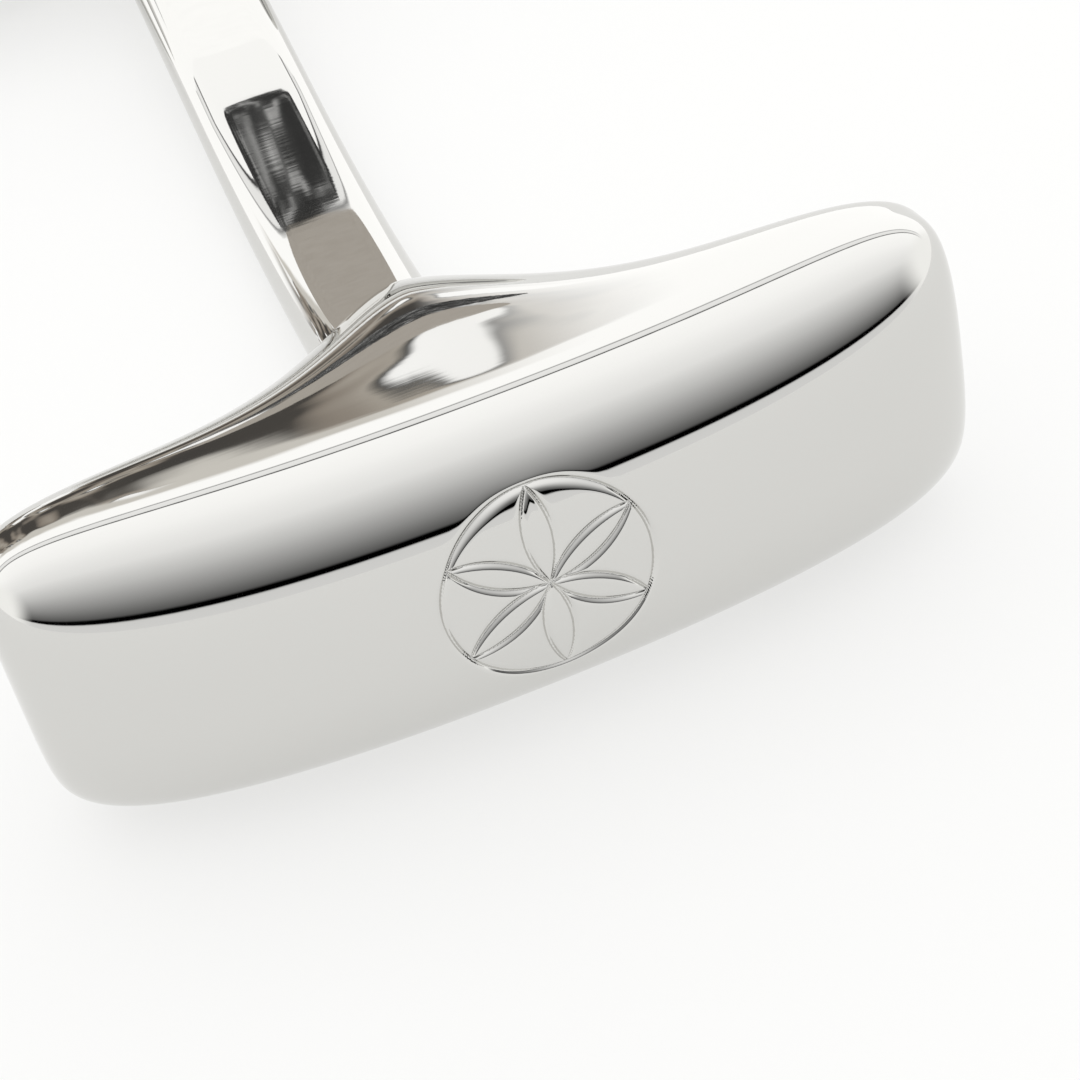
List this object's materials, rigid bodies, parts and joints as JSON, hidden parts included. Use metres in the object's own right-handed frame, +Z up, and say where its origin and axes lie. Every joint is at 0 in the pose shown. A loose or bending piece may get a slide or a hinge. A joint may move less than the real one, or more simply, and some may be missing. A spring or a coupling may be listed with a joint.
{
  "type": "cufflink",
  "caption": "Silver cufflink with a bowed rounded bar face, a bell-shaped boss, a curved flat arm and a swivelling toggle.",
  "frame": {"origin": "on the table, in the middle of the footprint of the link lying on its side", "axes": "+X along the bar, -Y the way the engraved front faces, +Y along the arm to the toggle, +Z up from the table"},
  "size_m": [0.017, 0.03, 0.0063],
  "materials": {
    "bar_silver": "mirror polish",
    "arm_silver": "mirror polish",
    "toggle_silver": "polished",
    "pin_silver": "polished",
    "spring_steel": "rolled",
    "rivet_silver": "polished"
  },
  "bodies": {
    "link": {"face_bar": "bar_silver", "arm": "arm_silver"},
    "toggle": {"toggle_body": "toggle_silver", "hinge_pin": "pin_silver", "detent_spring": "spring_steel", "spring_rivet": "rivet_silver"}
  },
  "joints": [
    {"name": "toggle_swivel", "type": "hinge", "parent": "link", "child": "toggle", "pos_m": [0, 0.01281, 0.00263], "axis": [0, -0.1602, 0.9871], "range_deg": [0, 90], "deforming": ["detent_spring"]}
  ]
}
